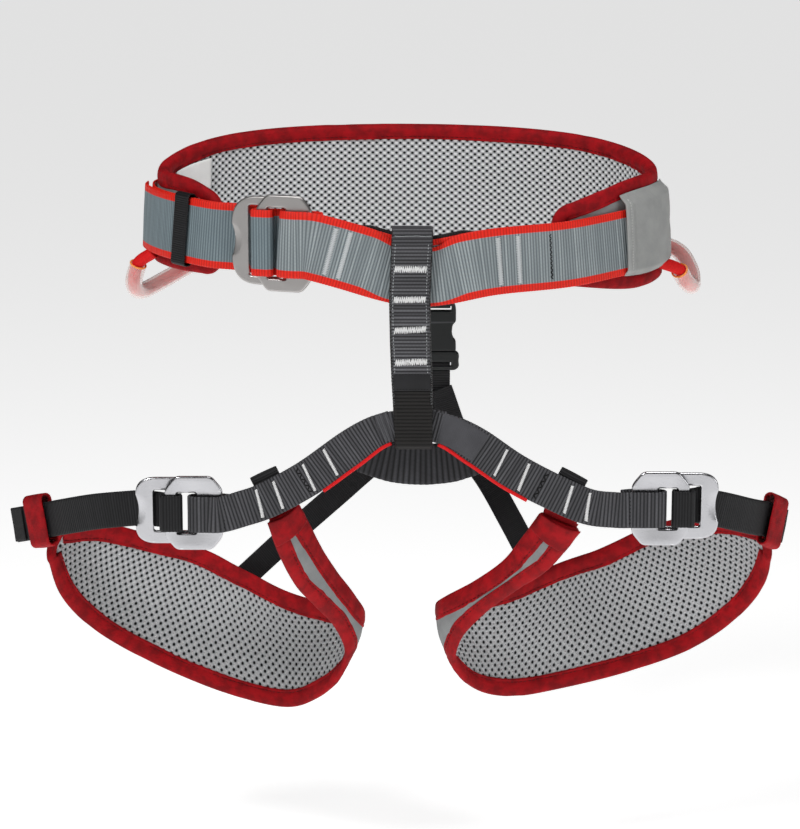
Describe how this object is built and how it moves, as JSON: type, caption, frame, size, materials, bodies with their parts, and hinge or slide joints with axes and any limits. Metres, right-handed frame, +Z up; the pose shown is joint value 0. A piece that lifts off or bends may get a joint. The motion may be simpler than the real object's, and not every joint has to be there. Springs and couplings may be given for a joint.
{
  "type": "climbing harness",
  "caption": "Padded sit harness with waist belt, two leg loops, plate buckles, belay loop, rear riser and gear loops.",
  "frame": {"origin": "middle of the waist opening, at the height of the waist webbing's centre line at the sides", "axes": "+X to the wearer's left as seen from the front, -Y is the front of the harness, +Z is up"},
  "size_m": [0.5476, 0.2414, 0.4165],
  "materials": {
    "spacer_mesh": "light grey knitted spacer mesh",
    "cover_fabric": "mid grey woven nylon",
    "binding_tape": "crimson woven binding tape",
    "label": "white satin tag, blank",
    "waist_webbing": "slate ribbed webbing with orange-red edges",
    "charcoal_webbing": "charcoal ribbed webbing",
    "black_webbing": "black webbing and elastic",
    "buckle_alloy": "satin anodised forged alloy",
    "black_plastic": "black acetal",
    "clear_tube": "translucent tube",
    "red_cord": "bright red braided cord"
  },
  "bodies": {
    "waist_belt": {"waist_lining": "spacer_mesh", "waist_cover": "cover_fabric", "waist_binding": "binding_tape", "care_label": "label", "waist_webbing": "waist_webbing", "tie_in_backing": "black_webbing", "webbing_sleeve": "cover_fabric", "waist_strap": "waist_webbing", "waist_tail": "waist_webbing", "waist_buckle_rear": "buckle_alloy", "waist_anchor_loop": "waist_webbing", "bridge_band": "charcoal_webbing", "bridge_rear": "black_webbing", "riser_strap": "black_webbing", "riser_plug": "black_plastic", "riser_tab": "black_webbing", "elastic_left": "black_webbing", "elastic_right": "black_webbing"},
    "waist_buckle_plate": {"waist_buckle_front": "buckle_alloy", "waist_strap_roll": "waist_webbing"},
    "strap_keeper": {"waist_keeper": "black_webbing"},
    "belay": {"belay_loop": "charcoal_webbing", "belay_label": "black_webbing"},
    "gear_loop_left": {"gear_tube_left": "clear_tube", "gear_cord_left": "red_cord"},
    "gear_loop_right": {"gear_tube_right": "clear_tube", "gear_cord_right": "red_cord"},
    "riser_upper": {"riser_receiver": "black_plastic", "riser_strap_eye": "black_webbing"},
    "prong_left": {"riser_prong_left": "black_plastic"},
    "prong_right": {"riser_prong_right": "black_plastic"},
    "left_leg": {"left_pad_lining": "spacer_mesh", "left_pad_cover": "cover_fabric", "left_pad_binding": "binding_tape", "left_front_webbing": "charcoal_webbing", "left_keeper": "charcoal_webbing", "left_buckle_rear": "buckle_alloy", "left_anchor_loop": "charcoal_webbing", "left_side_webbing": "black_webbing", "left_end_loop": "binding_tape"},
    "left_buckle_plate": {"left_buckle_front": "buckle_alloy", "left_strap_roll": "charcoal_webbing"},
    "right_leg": {"right_pad_lining": "spacer_mesh", "right_pad_cover": "cover_fabric", "right_pad_binding": "binding_tape", "right_front_webbing": "charcoal_webbing", "right_keeper": "charcoal_webbing", "right_buckle_rear": "buckle_alloy", "right_anchor_loop": "charcoal_webbing", "right_side_webbing": "black_webbing", "right_end_loop": "binding_tape"},
    "right_buckle_plate": {"right_buckle_front": "buckle_alloy", "right_strap_roll": "charcoal_webbing"}
  },
  "joints": [
    {"name": "waist_buckle_tilt", "type": "hinge", "parent": "waist_belt", "child": "waist_buckle_plate", "pos_m": [-0.07363, -0.10477, -0.006], "axis": [0, 0, 1], "range_deg": [0, 12]},
    {"name": "keeper_slide", "type": "hinge", "parent": "waist_belt", "child": "strap_keeper", "pos_m": [-0.0907, 0.0096, 0], "axis": [0, 0, 1], "range_deg": [0, 5]},
    {"name": "belay_loop_shift", "type": "slide", "parent": "waist_belt", "child": "belay", "axis": [1, 0, 0], "range_m": [-0.002, 0.002]},
    {"name": "left_gear_loop_swing", "type": "hinge", "parent": "waist_belt", "child": "gear_loop_left", "pos_m": [-0.187, -0.016, -0.032], "axis": [0.3779, 0.9157, -0.137], "range_deg": [0, 60]},
    {"name": "right_gear_loop_swing", "type": "hinge", "parent": "waist_belt", "child": "gear_loop_right", "pos_m": [0.184, -0.014, -0.037], "axis": [0.349, -0.9299, -0.116], "range_deg": [0, 60]},
    {"name": "riser_release", "type": "slide", "parent": "waist_belt", "child": "riser_upper", "axis": [0, 0, 1], "range_m": [0, 0.022], "deforming": ["riser_strap"]},
    {"name": "prong_left_squeeze", "type": "hinge", "parent": "waist_belt", "child": "prong_left", "pos_m": [0.007, 0.116, -0.1181], "axis": [0, 1, 0], "range_deg": [0, 6], "stiffness_Nm_per_rad": 0.02},
    {"name": "prong_right_squeeze", "type": "hinge", "parent": "waist_belt", "child": "prong_right", "pos_m": [0.027, 0.116, -0.1181], "axis": [0, -1, 0], "range_deg": [0, 6], "stiffness_Nm_per_rad": 0.02},
    {"name": "left_leg_swing", "type": "hinge", "parent": "waist_belt", "child": "left_leg", "pos_m": [0, -0.107, -0.138], "axis": [1, 0, 0], "range_deg": [-15, 20], "stiffness_Nm_per_rad": 4, "deforming": ["elastic_left"]},
    {"name": "left_buckle_tilt", "type": "hinge", "parent": "left_leg", "child": "left_buckle_plate", "pos_m": [-0.136, -0.088, -0.191], "axis": [0, 0, 1], "range_deg": [0, 12]},
    {"name": "right_leg_swing", "type": "hinge", "parent": "waist_belt", "child": "right_leg", "pos_m": [0, -0.107, -0.138], "axis": [1, 0, 0], "range_deg": [-15, 20], "stiffness_Nm_per_rad": 4, "deforming": ["elastic_right"]},
    {"name": "right_buckle_tilt", "type": "hinge", "parent": "right_leg", "child": "right_buckle_plate", "pos_m": [0.157, -0.088, -0.188], "axis": [0, 0, -1], "range_deg": [0, 12]}
  ],
  "couplings": [
    {"joint": "prong_left_squeeze", "follows": "riser_release", "rad_per_m": 4.7},
    {"joint": "prong_right_squeeze", "follows": "riser_release", "rad_per_m": 4.7}
  ]
}
